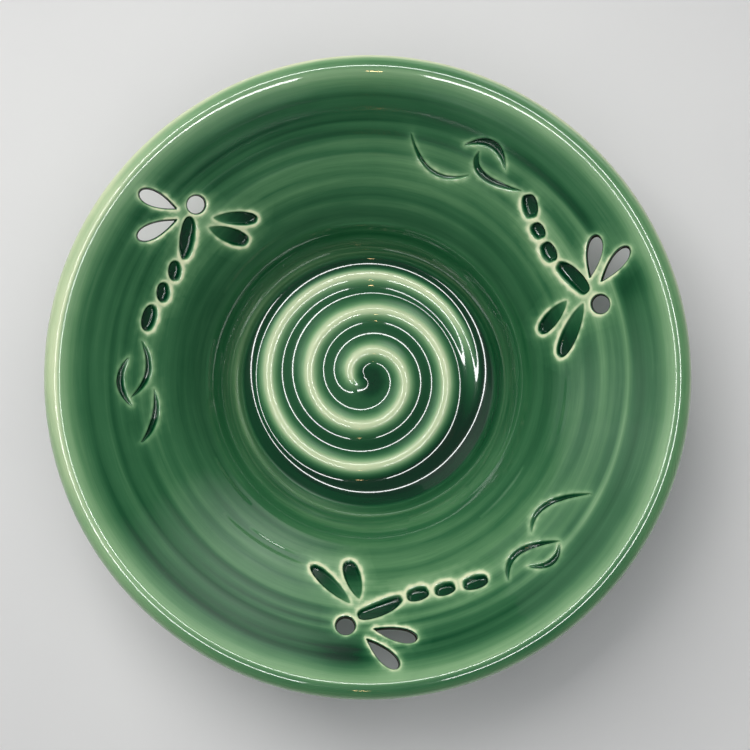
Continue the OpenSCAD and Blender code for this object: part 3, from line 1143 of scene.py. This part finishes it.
def glaze_material(name, streak, speckle):
    """A glassy celadon by its depth: cream where thin, deep green where pooled."""
    nodes = Nodes(name)
    depth = nodes.add("ShaderNodeAttribute", attribute_name="glaze").outputs["Fac"]
    point = nodes.point()
    total = nodes.mottled(depth, nodes.noise(nodes.wheel_vector(2.2, 420), 1.0, 3.0, 0.6), streak)
    fine = nodes.noise(nodes.wheel_vector(9.0, 2600), 1.0, 2.0, 0.6)
    total = nodes.mottled(total, fine, speckle)
    total = nodes.mottled(total, nodes.noise(point, 38.0, 3.0, 0.55), 0.12)
    place = nodes.math("DIVIDE", total, BARE_STAINED_AND_SHADED)
    colours = [(position / BARE_STAINED_AND_SHADED, colour) for position, colour in GLAZE_STOPS]
    nodes.drive("Base Color", place, colours)
    nodes.drive("Roughness", place, ROUGHNESS_STOPS)
    nodes.drive("Coat Weight", place, COAT_STOPS)
    settle(nodes.shader, {"IOR": 1.5, "Specular IOR Level": 0.1, "Coat Roughness": 0.03})
    nodes.bump(nodes.noise(point, 900.0, 2.0), 0.06, 0.0002)
    return nodes.material


def clay_material():
    """Bare buff stoneware: matt, grainy, with iron specks and faint turning lines."""
    nodes = Nodes("bare_clay")
    point = nodes.point()
    grain = nodes.times(nodes.noise(point, 900.0, 4.0, 0.65), 0.6)
    lines = nodes.times(nodes.noise(nodes.wheel_vector(1.5, 1500), 1.0, 2.0), 0.4)
    mixed = nodes.math("ADD", grain, lines)
    nodes.drive("Base Color", mixed, CLAY_STOPS)
    settle(nodes.shader, {"Roughness": 0.85, "Specular IOR Level": 0.25})
    nodes.bump(mixed, 0.5, 0.0004)
    return nodes.material


def table_material():
    nodes = Nodes("pale_table")
    nodes.drive("Base Color", nodes.noise(nodes.point(), 6.0, 3.0), TABLE_STOPS, "B_SPLINE")
    settle(nodes.shader, {"Roughness": 0.7, "Specular IOR Level": 0.2})
    return nodes.material


# ---- stage, lights and camera ----

CAMERA_PLACE = Vector((2.8, -45.5, 547)) * MM
CAMERA_TARGET = Vector((2.8, -2.2, 67)) * MM
CAMERA_LENS = 60.6
DISH = Vector((0, 0, 0.05))
WHITE = (1, 1, 1)


def make_table():
    """A wide pale table with a soft upward bend far from the dish."""
    reach, steps = 4.0, 24
    line = [reach * (2 * i / steps - 1) for i in range(steps + 1)]
    points = [(x, y, 0.06 * max(0, math.hypot(x, y) - 2.2) ** 2) for y in line for x in line]
    corners = [j * (steps + 1) + i for j in range(steps) for i in range(steps)]
    faces = [(k, k + 1, k + steps + 2, k + steps + 1) for k in corners]
    mesh = bpy.data.meshes.new("table")
    mesh.from_pydata(points, [], faces)
    mesh.polygons.foreach_set("use_smooth", [True] * len(mesh.polygons))
    mesh.materials.append(table_material())
    table = put("table", mesh)


def aim(thing, place, target):
    thing.location = place
    thing.rotation_mode = "QUATERNION"
    thing.rotation_quaternion = (target - Vector(place)).to_track_quat("-Z", "Y")


def area_light(name, place, size, radiance, seen, colour=WHITE, spread=180):
    """A lamp that faces the dish, hidden from the camera. seen is diffuse or glossy."""
    lamp = bpy.data.lights.new(name, "AREA")
    lamp.shape = "RECTANGLE"
    lamp.size, lamp.size_y = size
    lamp.energy = radiance * math.pi * lamp.size * lamp.size_y
    lamp.color = colour
    lamp.spread = math.radians(spread)
    light = put(name, lamp)
    aim(light, place, DISH)
    light.visible_camera = False
    light.visible_diffuse = seen == "diffuse"
    light.visible_glossy = seen == "glossy"
    return light


def ring_lamp(centre):
    """The thin ring round the camera that draws the white lines, open at the bottom."""
    lamps, radius, width, opening = 30, 0.215, 0.045, 16
    for k in range(lamps):
        angle = 2 * math.pi * (k + 0.5) / lamps
        if abs(math.degrees(angle) - 270) < opening:
            continue
        place = centre + radius * Vector((math.cos(angle), math.sin(angle), 0))
        size = (width, 2 * math.pi * radius / lamps)
        light = area_light(f"ring_{k}", place, size, 24.0, "glossy")
        light.rotation_mode = "XYZ"
        light.rotation_euler = (0, 0, angle)


def around_dish(azimuth, elevation, distance):
    """A place seen from the dish in a direction given in degrees."""
    a, e = math.radians(azimuth), math.radians(elevation)
    return distance * Vector((math.cos(e) * math.cos(a), math.cos(e) * math.sin(a), math.sin(e)))


# Fills, windows that the glaze mirrors, and a small warm lamp: azimuth, elevation and distance,
# size, radiance, what it lights, colour, spread
SIDE_LAMPS = {
    "fill_right": ((30, 16, 2.2), (1.6, 0.8), 1.0, "diffuse"),
    "fill_near": ((285, 16, 2.2), (1.6, 0.8), 0.72, "diffuse"),
    "window_far": ((63, 27, 1.8), (2.0, 1.8), 0.15, "glossy", WHITE, 52),
    "window_left": ((168, 38, 1.8), (1.3, 1.3), 0.027, "glossy", WHITE, 36),
    "window_high": ((140, 52, 1.6), (0.9, 0.9), 0.05, "glossy", WHITE, 60),
    "warm_lamp": ((268, 57, 1.5), (0.05, 0.03), 60.0, "glossy", (1.0, 0.62, 0.3)),
}


def make_lights():
    """The ring, soft light from above, and the lamps round the dish."""
    ring_lamp(CAMERA_PLACE)
    area_light("overhead", CAMERA_PLACE, (0.42, 0.42), 1.62, "diffuse")
    area_light("key", (-0.45, 0.6, 1.0), (0.9, 0.9), 4.35, "diffuse", (1.0, 0.99, 0.97))
    for name, (place, *lamp) in SIDE_LAMPS.items():
        area_light(name, around_dish(*place), *lamp)
    world = bpy.data.worlds.new("studio")
    world.use_nodes = True
    colour, strength = world.node_tree.nodes["Background"].inputs[:2]
    colour.default_value = (0.9, 0.94, 1.0, 1)
    strength.default_value = 0.16
    bpy.context.scene.world = world


def make_camera():
    data = bpy.data.cameras.new("camera")
    data.sensor_width = 36
    data.lens = CAMERA_LENS
    data.clip_start, data.clip_end = 0.01, 50
    camera = put("camera", data)
    aim(camera, CAMERA_PLACE, CAMERA_TARGET)
    bpy.context.scene.camera = camera


make_camera()
make_table()
make_lights()
make_wall(glaze_material("wall_glaze", 0.16, 0.06))
make_rim(glaze_material("rim_glaze", 0.10, 0.05))
make_floor(glaze_material("floor_glaze", 0.10, 0.03), glaze_material("ridge_glaze", 0.10, 0.03))
make_foot(clay_material())
bpy.context.scene.view_settings.view_transform = "Standard"
